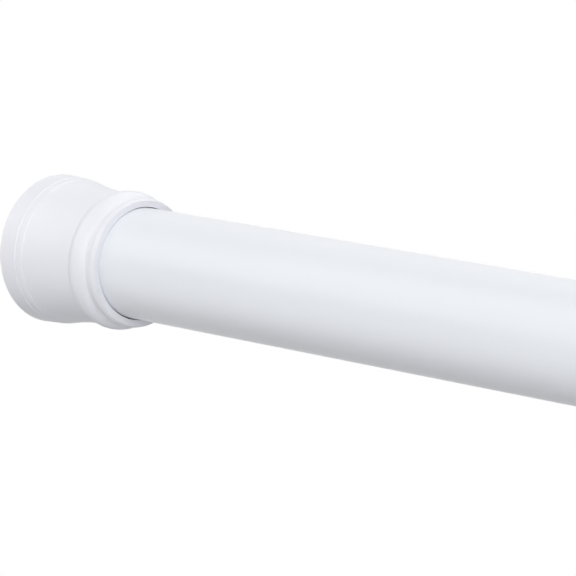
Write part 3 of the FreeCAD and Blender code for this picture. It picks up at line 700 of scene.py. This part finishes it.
def floor_paper():
    """Pale matt studio paper that melts into the white backdrop towards its rim."""
    material, tree, output = new_material("pale_studio_paper")
    place = add_node(tree, "ShaderNodeTexCoord").outputs["Object"]
    fibre = add_node(tree, "ShaderNodeTexNoise", {"Vector": place, "Scale": per_metre(2), "Detail": 2.0})
    tone = add_node(tree, "ShaderNodeMix", {
        "Factor": fibre.outputs["Fac"], "A": shaded(stage().floor, 0.99), "B": shaded(stage().floor, 1.01),
    }, data_type="RGBA")
    paper = add_node(tree, "ShaderNodeBsdfDiffuse", {"Color": tone.outputs["Result"]})
    white = add_node(tree, "ShaderNodeEmission", {"Color": WHITE, "Strength": 1.0})
    middle_distance = add_node(tree, "ShaderNodeVectorMath", {0: place}, operation="LENGTH")
    fade = add_node(tree, "ShaderNodeMapRange", {
        "Value": middle_distance.outputs["Value"], "From Min": stage().floor_fade,
        "From Max": stage().floor_radius * FLOOR_WHITE_SHARE,
    }, interpolation_type="SMOOTHSTEP")
    share = add_node(tree, "ShaderNodeMath", {
        0: fade.outputs["Result"], 1: seen_ray(tree),
    }, operation="MULTIPLY")
    mix = add_node(tree, "ShaderNodeMixShader", {
        0: share.outputs[0], 1: paper.outputs["BSDF"], 2: white.outputs["Emission"],
    })
    tree.links.new(mix.outputs["Shader"], output.inputs["Surface"])
    return material


def add_floor():
    """A round floor below the rod's middle."""
    made = bmesh.new()
    bmesh.ops.create_circle(made, cap_ends=True, segments=FLOOR_SIDES, radius=stage().floor_radius)
    mesh = bpy.data.meshes.new("studio_floor")
    made.to_mesh(mesh)
    made.free()
    mesh.materials.append(floor_paper())
    floor = bpy.data.objects.new("studio_floor", mesh)
    low, high = CAD_BOX
    floor.location = ((low.x + high.x) / 2, 0, -stage().floor_drop)
    bpy.context.scene.collection.objects.link(floor)


def add_camera():
    """A long lens that looks along the rod from its right, at the photograph's angle."""
    view = stage()
    level = math.cos(view.elevation)
    back = Vector((
        math.sin(view.azimuth) * level,
        -math.cos(view.azimuth) * level,
        math.sin(view.elevation),
    ))
    data = bpy.data.cameras.new("camera")
    data.sensor_width = SENSOR_WIDTH
    data.lens = view.lens
    data.clip_start = CLIP_NEAR
    data.clip_end = CLIP_FAR
    camera = bpy.data.objects.new("camera", data)
    camera.location = Vector((view.aim_x, 0, view.aim_z)) + back * view.distance
    camera.rotation_mode = "QUATERNION"
    camera.rotation_quaternion = (-back).to_track_quat("-Z", "Y")
    bpy.context.scene.collection.objects.link(camera)
    bpy.context.scene.camera = camera


class TENSION_ROD_OT_stage(bpy.types.Operator):
    """Set up the floor, the light and the camera"""

    bl_idname = "tension_rod.stage"
    bl_label = "Stage"

    def execute(self, context):
        context.scene.view_settings.view_transform = "Standard"
        white_world()
        add_floor()
        for name, direction, distance, width, height in SOFTBOXES:
            add_softbox(name, direction, distance, width, height, getattr(stage(), name))
        add_camera()
        return {"FINISHED"}


class TENSION_ROD_PT_panel(bpy.types.Panel):
    """The rod's steps, sizes and colours"""

    bl_idname = "TENSION_ROD_PT_panel"
    bl_label = "Spring Tension Rod"
    bl_space_type = "VIEW_3D"
    bl_region_type = "UI"
    bl_category = "Tension Rod"

    def draw(self, context):
        layout = self.layout
        for operator in OPERATORS:
            layout.operator(operator.bl_idname)
        for group in (sizes(), finish(), stage()):
            box = layout.box()
            for name in group.__annotations__:
                box.prop(group, name)


OPERATORS = (
    TENSION_ROD_OT_tubes,
    TENSION_ROD_OT_end_caps,
    TENSION_ROD_OT_mouth_bush,
    TENSION_ROD_OT_feet,
    TENSION_ROD_OT_plugs,
    TENSION_ROD_OT_lock,
    TENSION_ROD_OT_spindle,
    TENSION_ROD_OT_spring,
    TENSION_ROD_OT_stage,
)

CLASSES = (RodSizes, RodFinish, RodStage, *OPERATORS, TENSION_ROD_PT_panel)


def register():
    for item in CLASSES:
        bpy.utils.register_class(item)
    bpy.types.Scene.tension_rod_sizes = PointerProperty(type=RodSizes)
    bpy.types.Scene.tension_rod_finish = PointerProperty(type=RodFinish)
    bpy.types.Scene.tension_rod_stage = PointerProperty(type=RodStage)


def unregister():
    del bpy.types.Scene.tension_rod_stage
    del bpy.types.Scene.tension_rod_finish
    del bpy.types.Scene.tension_rod_sizes
    for item in reversed(CLASSES):
        bpy.utils.unregister_class(item)


def main():
    register()
    bpy.ops.tension_rod.tubes()
    bpy.ops.tension_rod.end_caps()
    bpy.ops.tension_rod.mouth_bush()
    bpy.ops.tension_rod.feet()
    bpy.ops.tension_rod.plugs()
    bpy.ops.tension_rod.lock()
    bpy.ops.tension_rod.spindle()
    bpy.ops.tension_rod.spring()
    bpy.ops.tension_rod.stage()


if __name__ == "__main__":
    main()
